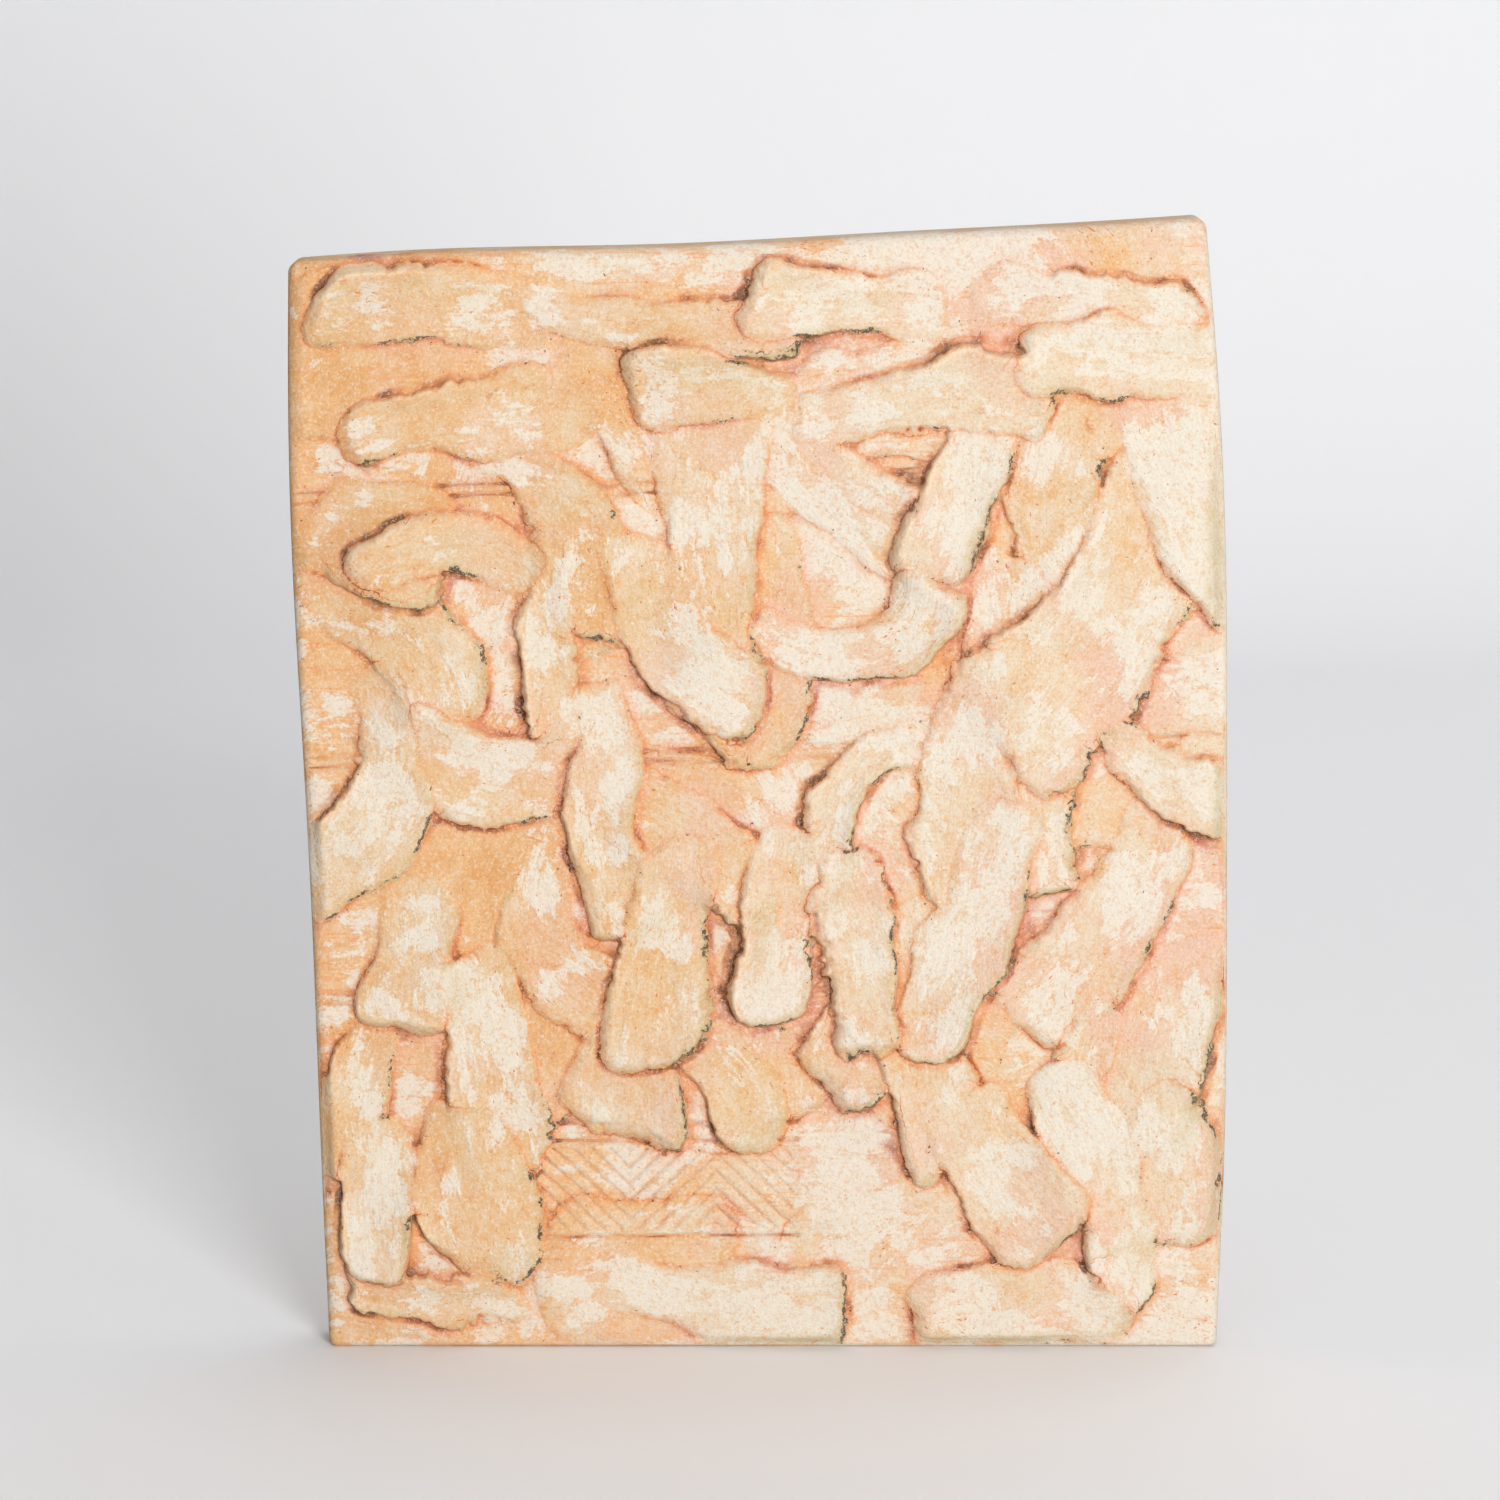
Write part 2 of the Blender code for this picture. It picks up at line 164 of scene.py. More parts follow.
def dab_outline(x, z, dab, n):
    """Distance outside the dab's ragged edge, and each point's place along and across the dab."""
    shift, turn = 31.0 * n, 17.0 * n
    long, short = 1.1 * DAB_WIDTH, 0.42 * DAB_WIDTH
    loose_x = x + WANDER * (noise(x + shift, z, long, 1) + 0.43 * noise(x + shift, z, short, 2))
    loose_z = z + WANDER * (noise(x + shift, z, long, 3) + 0.43 * noise(x + shift, z, short, 4))
    place, side = along_dab(loose_x, loose_z, dab)
    place = place + dab.slant * side
    share = np.clip(place / dab.length + 0.5, 0, 1)
    half = dab.width / 2 * (1 - dab.taper * (1 - ease(share * 1.3)))
    corner = half * dab.roundness
    past_end = np.abs(place) - (dab.length / 2 - corner)
    past_side = np.abs(side) - (half - corner)
    outside = np.hypot(np.maximum(past_end, 0), np.maximum(past_side, 0)) - corner
    outside = outside + np.minimum(np.maximum(past_end, past_side), 0)
    torn = dab.tear * (0.35 + 0.65 * ease(0.4 + 1.2 * noise(x + shift, z + turn, 0.85 * DAB_WIDTH, 7)))
    crumbs = 0.5 - np.abs(noise(x + shift, z + turn, CRUMB, 20))
    outside = outside + torn * RAGGED * (crumbs + 0.45 * noise(x, z, 0.44 * CRUMB, 31))
    outside = outside + KINK * (0.5 - np.abs(noise(x + turn, z + shift, 0.42 * DAB_WIDTH, 21)))
    outside = outside + 0.14 * RAGGED * noise(x, z, 0.34 * CRUMB, 33)
    return outside, share, place, np.clip(side / half, -1, 1), side, torn


def lay_dab(face, x, z, dab, n):
    """Press one dab on: thin where it starts, thick where it ends, flattening what it covers."""
    reach = dab.length / 2 + dab.width
    columns = np.flatnonzero(np.abs(x[0] - dab.x) < reach)
    rows = np.flatnonzero(np.abs(z[:, 0] - dab.z) < reach)
    if len(columns) < 3 or len(rows) < 3:
        return
    near = np.s_[rows[0] : rows[-1] + 1, columns[0] : columns[-1] + 1]
    x, z, old = x[near], z[near], face["height"][near]
    shift, turn = 31.0 * n, 17.0 * n
    outside, share, place, across, side, torn = dab_outline(x, z, dab, n)
    rise = ease(share * 1.3)
    body = dab.thickness * (0.08 + 0.92 * rise) * (1 + dab.tilt * across) * (0.76 + 0.24 * across**2)
    dents = noise(x + shift, z + turn, 0.6 * DAB_WIDTH, 40)
    dents = DENT * (dents + 0.38 * noise(x + turn, z + shift, 0.25 * DAB_WIDTH, 41))
    strokes = STROKE_DEPTH * (0.4 + dab.comb) * noise(side, place / 14 + n, STROKE_WIDTH, 50)
    body = body + (dents + strokes) * (0.3 + 0.7 * rise)
    rim = np.exp(-((outside / RAGGED + 1.2) ** 2))
    lip = np.exp(-(((dab.length / 2 - place) / (0.14 * DAB_WIDTH) - 1) ** 2))
    body = body + dab.thickness * (0.14 * torn * rim + dab.lip * lip)
    patches = ease(0.5 + noise(x + shift, z + turn, 1.2 * DAB_WIDTH, 8))
    loose = ease(0.15 + 1.3 * noise(x + turn, z + shift, 0.8 * DAB_WIDTH, 9))
    slope = EDGE_SLOPE * (1 + 5 * loose**2) * (1 + 0.8 * dab.tilt * across)
    slope = slope + END_SLOPE * ease(2.5 * share - 1.5) * (0.4 + patches)
    slope = slope + FEATHER * (1 - ease(share * 2.2))
    slope = slope + SOFT_SLOPE * dab.softness * patches
    inward = np.clip(-outside / slope, 0, 1)
    cover = 0.45 * np.sqrt(inward * (2 - inward)) + 0.55 * (1 - (1 - inward) ** 1.5)
    pressed = blur(old, PRESS_REACH)
    pressed = pressed + 0.35 * (blur(old, 0.27 * PRESS_REACH) - pressed) * (1 - 0.5 * rise)
    face["height"][near] = old * (1 - cover) + (pressed + body) * cover
    inside = outside < 0
    crease = face["crease"][near]
    face["crease"][near] = np.where(inside | (outside < np.abs(crease)), outside, crease)
    face["top"][near] = np.where(inside, n, face["top"][near])
    face["tone"][near] = np.where(inside, (0.618 * n) % 1, face["tone"][near])
    thick = ease((dab.thickness - SKIN_THICKNESS) / SKIN_THICKNESS)
    face["laid"][near] += (0.3 + 0.7 * thick - face["laid"][near]) * cover


def scattered(rng, kind, x, z, length, width, thickness, scatter, turn, tear, lip, softness):
    """A dab of the given kind near the given place, no two alike."""
    return Dab(
        x + rng.uniform(-scatter, scatter),
        z + rng.uniform(-scatter, scatter),
        rng.choice(kind.headings) + rng.uniform(-turn, turn),
        length * kind.length * rng.uniform(0.72, 1.3),
        width * kind.width * rng.uniform(0.78, 1.34),
        kind.bend * rng.choice((-1, 1)) + rng.uniform(-0.35, 0.35),
        thickness * kind.thickness * rng.triangular(0.45, 1.6, 0.7),
        kind.taper * rng.uniform(0.0, 1.6),
        rng.uniform(-0.8, 0.8),
        tear * rng.uniform(0.3, 1.4),
        lip * rng.uniform(0.0, 1.8),
        rng.uniform(-0.3, 0.3),
        rng.uniform(0.5, 1.0),
        rng.random() ** 2,
        softness * rng.random(),
    )


def laid_dabs():
    """Thin skins, then courses of thick dabs and the borders, each in the order they were pressed on."""
    rng = random.Random(SEED)
    skins = []
    for row in range(5):
        for column in range(4):
            x = (-0.38 + column * 0.25 + (row % 2) * 0.08) * PANEL_WIDTH
            z = (0.1 + row * 0.2) * HEIGHT
            kind = rng.choice((UPRIGHT, SLANTING, LEVEL))
            size = (SKIN_LENGTH, SKIN_WIDTH, SKIN_THICKNESS)
            skins.append(scattered(rng, kind, x, z, *size, 1.8 * SCATTER, 25, 0.5, 0.02, 1.6))
    courses = []
    for row in range(5):
        for column in range(8 - row % 2):
            x = (-0.44 + (column + 0.5 * (row % 2)) * 0.126) * PANEL_WIDTH
            z = (0.77 - row * 0.128) * HEIGHT
            kind = rng.choices(KINDS, [kind.odds for kind in KINDS])[0]
            size = (DAB_LENGTH, DAB_WIDTH, DAB_THICKNESS)
            courses.append(scattered(rng, kind, x, z, *size, SCATTER, 16, 0.9, 0.3, 0.8))
    rng.shuffle(courses)
    borders = []
    for count, height, offset in ((4, 0.945, 0.0), (4, 0.87, 0.07), (3, 0.045, -0.05)):
        for n in range(count):
            x = ((n + 0.5) / count - 0.5 + offset) * 0.94 * PANEL_WIDTH
            size = (BAND_LENGTH, BAND_WIDTH, DAB_THICKNESS)
            spot = (x, height * HEIGHT)
            borders.append(scattered(rng, LEVEL, *spot, *size, 0.6 * SCATTER, 8, 0.8, 0.15, 0.8))
    for x, heading in FAN:
        kind = UPRIGHT._replace(headings=(heading,))
        spot = (x * PANEL_WIDTH, FAN_HEIGHT * HEIGHT)
        size = (DAB_LENGTH, DAB_WIDTH, DAB_THICKNESS)
        borders.append(scattered(rng, kind, *spot, *size, 0.6 * SCATTER, 6, 0.8, 0.15, 0.8))
    rng.shuffle(borders)
    return skins, courses + borders


def bare_ground(x, z):
    return UNEVEN * (noise(x, z, UNEVEN_LENGTH, 90) + 0.4 * noise(x, z, 0.3 * UNEVEN_LENGTH, 91))


def ruled_depth(x, z):
    """How deep the ruled double lines and the hatched band are pressed in."""
    grooves = np.zeros_like(x)
    for share in RULED_LINES:
        off_line = z - share * HEIGHT - UNEVEN * noise(x, z, 2 * UNEVEN_LENGTH, 93)
        for side in (-0.5, 0.5):
            grooves += np.exp(-(((off_line - side * RULED_GAP) / GROOVE_WIDTH) ** 2))
    along = x - FRIEZE_PLACE[0] * PANEL_WIDTH
    up = z - FRIEZE_PLACE[1] * HEIGHT
    inside = (np.abs(along) < FRIEZE_LENGTH / 2) & (np.abs(up) < FRIEZE_HEIGHT / 2)
    peaks = FRIEZE_HEIGHT * np.abs((along / FRIEZE_HEIGHT) % 2 - 1)
    grooves += np.where(inside & (np.cos(2 * np.pi * (up + peaks) / HATCH_PITCH) > 0.5), 0.55, 0)
    for edge in (-0.58, 0.58, 0.8):
        rule = np.exp(-(((up - edge * FRIEZE_HEIGHT) / GROOVE_WIDTH) ** 2))
        grooves += rule * (np.abs(along) < 0.52 * FRIEZE_LENGTH)
    return GROOVE_DEPTH * grooves


def border_fade(x, z):
    """0 at the slab's rim and 1 on the face inside it."""
    rim = np.minimum(PANEL_WIDTH / 2 - np.abs(x), np.minimum(z, HEIGHT - z))
    return ease((rim - BORDER) / BORDER_FADE)


# The face as a set of square grids: its height, and what the stains follow.
grid_x, grid_z = np.meshgrid(
    np.arange(-PANEL_WIDTH / 2, PANEL_WIDTH / 2 + PITCH, PITCH),
    np.arange(0, HEIGHT + PITCH, PITCH),
)
face = {name: np.zeros_like(grid_x) for name in ("tone", "laid")}
face["top"] = np.full(grid_x.shape, -1)  # which dab lies on top
face["height"] = bare_ground(grid_x, grid_z)
face["crease"] = np.full_like(grid_x, FAR)
skins, dabs = laid_dabs()
for n, dab in enumerate(skins):
    lay_dab(face, grid_x, grid_z, dab, n)
face["height"] -= ruled_depth(grid_x, grid_z)
for n, dab in enumerate(dabs, len(skins)):
    lay_dab(face, grid_x, grid_z, dab, n)
raw = face["height"]
piled = PLAIN_HEIGHT + MOST_PILED * np.tanh((raw - PLAIN_HEIGHT) / MOST_PILED)
raw = np.where(raw > PLAIN_HEIGHT, piled, raw)
face["groove"] = blur(raw, 1.2) - raw
face["low"] = blur(raw, 9) - raw
face["height"] = raw * border_fade(grid_x, grid_z)
slope_up, slope_across = np.gradient(face["height"], PITCH)
face["steep"] = blur(np.hypot(slope_up, slope_across), 0.8)
face["facing"] = blur(0.6 * slope_up - 0.8 * slope_across, 0.8)  # more where it faces down and right
face["shaded"] = blur(0.6 * slope_up + 0.8 * slope_across, 0.8)  # more where it faces down and left
face["crease"] = np.clip(face["crease"], -FAR, FAR)


def read_grid(grid, x, z):
    """Values of a grid at any points of the face, by straight lines between its four nearest."""
    u = np.clip((x + PANEL_WIDTH / 2) / PITCH, 0, grid.shape[1] - 1.001)
    v = np.clip(z / PITCH, 0, grid.shape[0] - 1.001)
    i, j = u.astype(int), v.astype(int)
    u, v = u - i, v - j
    low = grid[j, i] * (1 - u) + grid[j, i + 1] * u
    high = grid[j + 1, i] * (1 - u) + grid[j + 1, i + 1] * u
    return low * (1 - v) + high * v


def bows(share, heights):
    return sum(height * np.sin((n + 1) * np.pi * share) for n, height in enumerate(heights))


def to_outline(x, z):
    """From the square panel to the slab's real outline, which leans and waves a little."""
    across, up = x / PANEL_WIDTH + 0.5, z / HEIGHT
    left = -FOOT_WIDTH / 2 + (LEAN + (FOOT_WIDTH - TOP_WIDTH) / 2) * up + bows(up, LEFT_BOWS)
    right = FOOT_WIDTH / 2 + (LEAN - (FOOT_WIDTH - TOP_WIDTH) / 2) * up + bows(up, RIGHT_BOWS)
    height = HEIGHT + TOP_RISE * (across - 0.5) + bows(across, TOP_BOWS)
    return left + (right - left) * across, height * up


def to_panel(real_x, real_z):
    """The way back, from the real outline to the square panel."""
    x, z = real_x, real_z
    for _ in range(8):
        there_x, there_z = to_outline(x, z)
        x, z = x + real_x - there_x, z + real_z - there_z
    return x, z


def slab_points(unit):
    """Points of a unit box moved to the rounded slab with the relief on its front."""
    size = np.array((PANEL_WIDTH, THICKNESS, HEIGHT))
    square = (unit + (0, 0, 0.5)) * size
    radius = FOOT_ROUND + (EDGE_ROUND - FOOT_ROUND) * ease(square[:, 2:] / FOOT_FADE)
    low, high = (-0.5, -0.5, 0) * size, (0.5, 0.5, 1) * size
    core = np.clip(square, low + radius, high - radius)
    away = square - core
    x, y, z = (core + radius * away / np.linalg.norm(away, axis=1, keepdims=True)).T
    y = y - (unit[:, 1] < -0.499) * read_grid(face["height"], x, z)
    back = (unit[:, 1] > 0.499) * border_fade(x, z)
    y = y - back * (0.25 + 0.15 * noise(x, z, 40, 70) + 0.1 * noise(x, z, 9, 71))
    x, z = to_outline(x, z)
    return np.stack((x, y, z), axis=1)


def unit_box():
    """A closed box one unit a side, its faces cut into rows as wide as the pitch on the real slab."""
    box = bmesh.new()
    bmesh.ops.create_cube(box, size=1.0)
    for axis, side in enumerate((PANEL_WIDTH, THICKNESS, HEIGHT)):
        whole = [edge for edge in box.edges if abs(edge.verts[0].co[axis] - edge.verts[1].co[axis]) > 0.5]
        bmesh.ops.subdivide_edges(box, edges=whole, cuts=round(side / PITCH) - 1, use_grid_fill=True)
    return box


def points_of(mesh):
    points = np.empty(len(mesh.vertices) * 3)
    mesh.vertices.foreach_get("co", points)
    return points.reshape(-1, 3)


dense = bpy.data.meshes.new("dense tablet")
box = unit_box()
box.to_mesh(dense)
box.free()
dense.vertices.foreach_set("co", slab_points(points_of(dense)).ravel())
dense_tablet = bpy.data.objects.new("dense tablet", dense)
bpy.context.scene.collection.objects.link(dense_tablet)
fewer = dense_tablet.modifiers.new("fewer faces", "DECIMATE")
fewer.ratio = min(1, TRIANGLES / (2 * len(dense.polygons)))
graph = bpy.context.evaluated_depsgraph_get()
mesh = bpy.data.meshes.new_from_object(dense_tablet.evaluated_get(graph))
mesh.name = "clay_tablet"
bpy.data.objects.remove(dense_tablet)
bpy.data.meshes.remove(dense)

real_x, y, real_z = points_of(mesh).T
x, z = to_panel(real_x, real_z)
on_front = np.clip((-y - 1) / 4, 0, 1)  # the stains end on the slab's sides
NEUTRAL = dict.fromkeys(("steep", "facing", "shaded", "groove", "low"), 0)
NEUTRAL.update(crease=FAR, laid=0.3, tone=0.5)
for name in NEUTRAL:
    values = read_grid(face[name], x, z) * on_front + NEUTRAL[name] * (1 - on_front)
    mesh.attributes.new(name, "FLOAT", "POINT").data.foreach_set("value", values.astype(np.float32))
mesh.attributes.new("front", "FLOAT", "POINT").data.foreach_set("value", on_front.astype(np.float32))

# The stains follow each smear, so each face's corners get their places along and across the dab it is on.
centres = np.empty(len(mesh.polygons) * 3)
mesh.polygons.foreach_get("center", centres)
centre_x, centre_y, centre_z = centres.reshape(-1, 3).T
centre_x, centre_z = to_panel(centre_x, centre_z)
column = np.clip(np.round((centre_x + PANEL_WIDTH / 2) / PITCH).astype(int), 0, grid_x.shape[1] - 1)
row = np.clip(np.round(centre_z / PITCH).astype(int), 0, grid_x.shape[0] - 1)
top = np.where(centre_y < 0, face["top"][row, column], -1)
corners, counts = np.empty(len(mesh.loops), int), np.empty(len(mesh.polygons), int)
mesh.loops.foreach_get("vertex_index", corners)
mesh.polygons.foreach_get("loop_total", counts)
top, corner_x, corner_z = np.repeat(top, counts), x[corners], z[corners]
place, side = corner_x.copy(), corner_z.copy()
for n, dab in enumerate(skins + dabs):
    on_dab = top == n
    along, aside = along_dab(corner_x[on_dab], corner_z[on_dab], dab)
    place[on_dab], side[on_dab] = along + 61 * n, aside + 47 * n  # no two dabs are stained alike
place, side = place + y[corners], side + y[corners]  # so that they don't stretch on the slab's sides
for name, values in (("place", place), ("side", side)):
    mesh.attributes.new(name, "FLOAT", "CORNER").data.foreach_set("value", values.astype(np.float32))

mesh.vertices.foreach_set("co", (points_of(mesh) * METRES).ravel())
mesh.update()
mesh.shade_smooth()
tablet = bpy.data.objects.new("clay_tablet", mesh)
bpy.context.scene.collection.objects.link(tablet)

# Unglazed white earthenware, washed with iron and pink stains that stay in the creases, then rubbed with
# white slip and charcoal. The darkest crease lines and some flank tones are painted shade. It is dry and
# matt, with a fine tooth.

# The dry clay's own colours, which this strong light makes look about a third brighter.
WHITE_SLIP = "DAD3C5"
CREAM_CLAY = "D7C5AC"
TAN_WASH = "D5B288"
PEACH_WASH = "DAB184"
DEEP_WASH = "D0965A"
ORANGE_WASH = "DFAB7C"
BLEED = "DF8C51"
BLUSH_WASH = "D9B19D"
ROSE_WASH = "DFAB98"
PALE_LINE = "C46830"
ROSE_LINE = "B24E3E"
# The two darkest crease colours are partly stain and partly painted shadow of the undercut; the darkest
# also colours the iron specks.
RUST_AND_SHADOW_LINE = "8C2E06"
DARK_LINE = "411000"
SMUDGE = "B5A47A"
# Paler clay painted on flanks that lie in shade, a painted highlight.
PAINTED_LIGHT_FLANK = "E6D2B2"
# Grey-beige for slopes that face down and right, partly stain and partly painted shade.
GREY_STAIN_AND_SHADE = "C0AF88"
BARE_CLAY = "C3AE8C"
CHARCOAL = "3F3932"


def linear(colour):
    """A colour written as sRGB hex, as linear RGBA."""
    parts = [int(colour[i : i + 2], 16) / 255 for i in (0, 2, 4)]
    return (*[c / 12.92 if c <= 0.04045 else ((c + 0.055) / 1.055) ** 2.4 for c in parts], 1)


clay = bpy.data.materials.new("washed earthenware")
clay.use_nodes = True
tree = clay.node_tree
tree.nodes.clear()


def add(kind, sockets=None, out=0, **settings):
    """Adds a node with its settings, values and links, and gives one of its outputs."""
    made = tree.nodes.new(kind)
    for name, value in settings.items():
        setattr(made, name, value)
    for socket, value in (sockets or {}).items():
        if isinstance(value, bpy.types.NodeSocket):
            tree.links.new(value, made.inputs[socket])
        else:
            made.inputs[socket].default_value = value
    return made.outputs[out] if made.outputs else None


# The shader's nodes. A range's sockets are the value, the two limits it comes from and the two it goes
# to; a colour mix has its share at 0 and its colours at 6 and 7; PLUS is the first times the second,
# plus the third.
MATH, RANGE, MIX, NOISE = "ShaderNodeMath", "ShaderNodeMapRange", "ShaderNodeMix", "ShaderNodeTexNoise"
COLOUR = {"data_type": "RGBA"}
TIMES, PLUS = {"operation": "MULTIPLY"}, {"operation": "MULTIPLY_ADD"}
crease, steep, facing, shaded, groove, low, laid, tone, place, side, front = (
    add("ShaderNodeAttribute", out="Fac", attribute_name=name)
    for name in (
        "crease", "steep", "facing", "shaded", "groove", "low", "laid", "tone", "place", "side", "front"
    )
)
spot = add("ShaderNodeTexCoord", out="Object")
across_smear = add(MATH, {0: side, 1: METRES}, **TIMES)
along_smear = add(MATH, {0: place, 1: METRES}, **TIMES)
drawn_out = add(MATH, {0: along_smear, 1: 0.12}, **TIMES)
streak_spot = add("ShaderNodeCombineXYZ", {"X": across_smear, "Y": drawn_out})
drawn_out = add(MATH, {0: along_smear, 1: 0.45}, **TIMES)
patch_spot = add("ShaderNodeCombineXYZ", {"X": across_smear, "Y": drawn_out})
other_spot = add("ShaderNodeVectorMath", {0: spot, 1: (0.31, 0.17, 0.23)}, operation="ADD")


def size(millimetres):
    """Noise scale for lumps of the given size."""
    return 1 / (millimetres * METRES)


# Washes: cream clay stained tan on the dabs and peach on the ground between them, in patches drawn
# out along each smear, with soft streaks. The stain is stronger near a dab's edges, where less wore off.
blotches = add(NOISE, {"Vector": spot, "Scale": size(6), "Detail": 5.0, "Roughness": 0.7})
broad = add(NOISE, {"Vector": spot, "Scale": size(30), "Detail": 2.0})
streaks = add(NOISE, {"Vector": streak_spot, "Scale": size(1.4), "Detail": 3.0, "Roughness": 0.6})
patches = add(NOISE, {"Vector": patch_spot, "Scale": size(5), "Detail": 6.0, "Roughness": 0.72})
grit = add(NOISE, {"Vector": spot, "Scale": size(0.7), "Detail": 3.0, "Roughness": 0.8})
margin = add(RANGE, {0: crease, 1: -4.0, 2: -0.4})
stain = add(MATH, {0: broad, 1: 0.8, 2: blotches}, **PLUS)
stain = add(MATH, {0: streaks, 1: 0.35, 2: stain}, **PLUS)
stain = add(MATH, {0: patches, 1: 0.7, 2: stain}, **PLUS)
stain = add(MATH, {0: tone, 1: 0.16, 2: stain}, **PLUS)
stain = add(MATH, {0: margin, 1: 0.12, 2: stain}, **PLUS)
stain = add(MATH, {0: low, 1: 0.05, 2: stain}, **PLUS)
across = add("ShaderNodeSeparateXYZ", {0: spot}, "X")
stain = add(MATH, {0: across, 1: -2.0, 2: stain}, **PLUS)
wash = add(MIX, {0: laid, 6: linear(PEACH_WASH), 7: linear(TAN_WASH)}, 2, **COLOUR)
washed = add(RANGE, {0: stain, 1: 1.42, 2: 1.72})
body = add(MIX, {0: washed, 6: linear(CREAM_CLAY), 7: wash}, 2, **COLOUR)
deep_share = add(RANGE, {0: stain, 1: 1.72, 2: 2.0, 3: 0.0, 4: 0.75})
body = add(MIX, {0: deep_share, 6: body, 7: linear(DEEP_WASH)}, 2, **COLOUR)

# Blush: a pinker wash, more of it to the right. Small clouds of deeper wash lie over both.
pink_side = add(RANGE, {0: across, 1: -0.12, 2: 0.12, 3: 0.15, 4: 0.85})
pink_lumps = add(NOISE, {"Vector": other_spot, "Scale": size(22), "Detail": 4.0, "Roughness": 0.6})
blush = add(MATH, {0: add(RANGE, {0: pink_lumps, 1: 0.46, 2: 0.6}), 1: pink_side}, **TIMES)
body = add(MIX, {0: blush, 6: body, 7: linear(BLUSH_WASH)}, 2, **COLOUR)
clouds = add(NOISE, {"Vector": patch_spot, "Scale": size(2.4), "Detail": 5.0, "Roughness": 0.75})
clouds = add(RANGE, {0: clouds, 1: 0.5, 2: 0.64, 3: 0.0, 4: 0.34})
body = add(MIX, {0: clouds, 6: body, 7: linear(DEEP_WASH)}, 2, **COLOUR)

# Wipe marks: thin level streaks of orange wash on the ground between the dabs.
level_spot = add("ShaderNodeVectorMath", {0: spot, 1: (0.05, 1.0, 1.0)}, operation="MULTIPLY")
wiped = add(NOISE, {"Vector": level_spot, "Scale": size(1.1), "Detail": 2.0, "Roughness": 0.7})
wiped = add(RANGE, {0: wiped, 1: 0.57, 2: 0.66, 3: 0.0, 4: 0.5})
wiped = add(MATH, {0: wiped, 1: add(RANGE, {0: laid, 1: 0.1, 2: 0.6, 3: 1.0, 4: 0.0})}, **TIMES)
body = add(MIX, {0: wiped, 6: body, 7: linear(BLEED)}, 2, **COLOUR)

# White slip, rubbed on and wiped off: patches with torn edges drawn out along the smear, mostly on
# the middle of a dab.
slip_lumps = add(NOISE, {"Vector": other_spot, "Scale": size(16), "Detail": 2.0})
slip = add(MATH, {0: slip_lumps, 1: 0.9, 2: patches}, **PLUS)
slip = add(MATH, {0: streaks, 1: 0.2, 2: slip}, **PLUS)
slip = add(MATH, {0: tone, 1: -0.16, 2: slip}, **PLUS)
slip = add(MATH, {0: steep, 1: -0.12, 2: slip}, **PLUS)
slip = add(MATH, {0: margin, 1: -0.08, 2: slip}, **PLUS)
slip = add(MATH, {0: grit, 1: 0.16, 2: slip}, **PLUS)
slip = add(MATH, {0: across, 1: 0.35, 2: slip}, **PLUS)
slip = add(RANGE, {0: slip, 1: 1.005, 2: 1.065, 3: 0.0, 4: 0.85})
body = add(MIX, {0: slip, 6: body, 7: linear(WHITE_SLIP)}, 2, **COLOUR)

# Flanks: grey-beige on a dab's slopes that face down and right, partly rubbed stain and partly painted
# shade that makes the relief read deeper; a painted highlight, paler, on its steep flanks that face up and
# left, offsetting the shade they fall in; and plain bare clay on the slab's own sides and back.
on_dab = add(RANGE, {0: crease, 1: -0.5, 2: 0.1, 3: 1.0, 4: 0.0})
# Painted shade, partly rubbed stain: grey-beige on slopes that face down and right.
stained_and_shaded = add(MATH, {0: on_dab, 1: add(RANGE, {0: facing, 1: 0.04, 2: 0.4, 3: 0.0, 4: 0.75})}, **TIMES)
stained_and_shaded = add(MATH, {0: stained_and_shaded, 1: add(RANGE, {0: blotches, 1: 0.35, 2: 0.6, 3: 0.4, 4: 1.0})}, **TIMES)
body = add(MIX, {0: stained_and_shaded, 6: body, 7: linear(GREY_STAIN_AND_SHADE)}, 2, **COLOUR)
flank = add(MATH, {0: on_dab, 1: add(RANGE, {0: steep, 1: 0.3, 2: 1.0})}, **TIMES)
# Painted highlight: steep flanks that face up and left are made paler to offset their shade.
painted_lift = add(MATH, {0: flank, 1: add(RANGE, {0: facing, 1: -0.5, 2: 0.0, 3: 0.6, 4: 0.0})}, **TIMES)
body = add(MIX, {0: painted_lift, 6: body, 7: linear(PAINTED_LIGHT_FLANK)}, 2, **COLOUR)
bare = add(RANGE, {0: front, 3: 0.7, 4: 0.0})
body = add(MIX, {0: bare, 6: body, 7: linear(BARE_CLAY)}, 2, **COLOUR)

# Orange wash gathers in the grooves and on the low side of each crease, up to three millimetres
# away, and rose instead of it here and there.
halo = add(RANGE, {0: crease, 1: 0.0, 2: 3.0, 3: 1.0, 4: 0.0})
near_side = add(RANGE, {0: crease, 1: -0.5, 2: 0.1})
patchy = add(NOISE, {"Vector": other_spot, "Scale": size(9), "Detail": 3.0})
patchy = add(RANGE, {0: patchy, 1: 0.38, 2: 0.62})
halo = add(MATH, {0: halo, 1: near_side}, **TIMES)
halo = add(MATH, {0: halo, 1: add(RANGE, {0: low, 1: -0.6, 2: 1.2})}, **TIMES)
halo = add(MATH, {0: halo, 1: add(RANGE, {0: patchy, 3: 0.1, 4: 0.5})}, **TIMES)
pooled = add(RANGE, {0: groove, 1: 0.15, 2: 0.6, 3: 0.0, 4: 0.4})
halo = add(MATH, {0: halo, 1: pooled}, operation="MAXIMUM")
rosy = add(RANGE, {0: pink_lumps, 1: 0.48, 2: 0.58})
gathered = add(MIX, {0: rosy, 6: linear(ORANGE_WASH), 7: linear(ROSE_WASH)}, 2, **COLOUR)
body = add(MIX, {0: halo, 6: body, 7: gathered}, 2, **COLOUR)
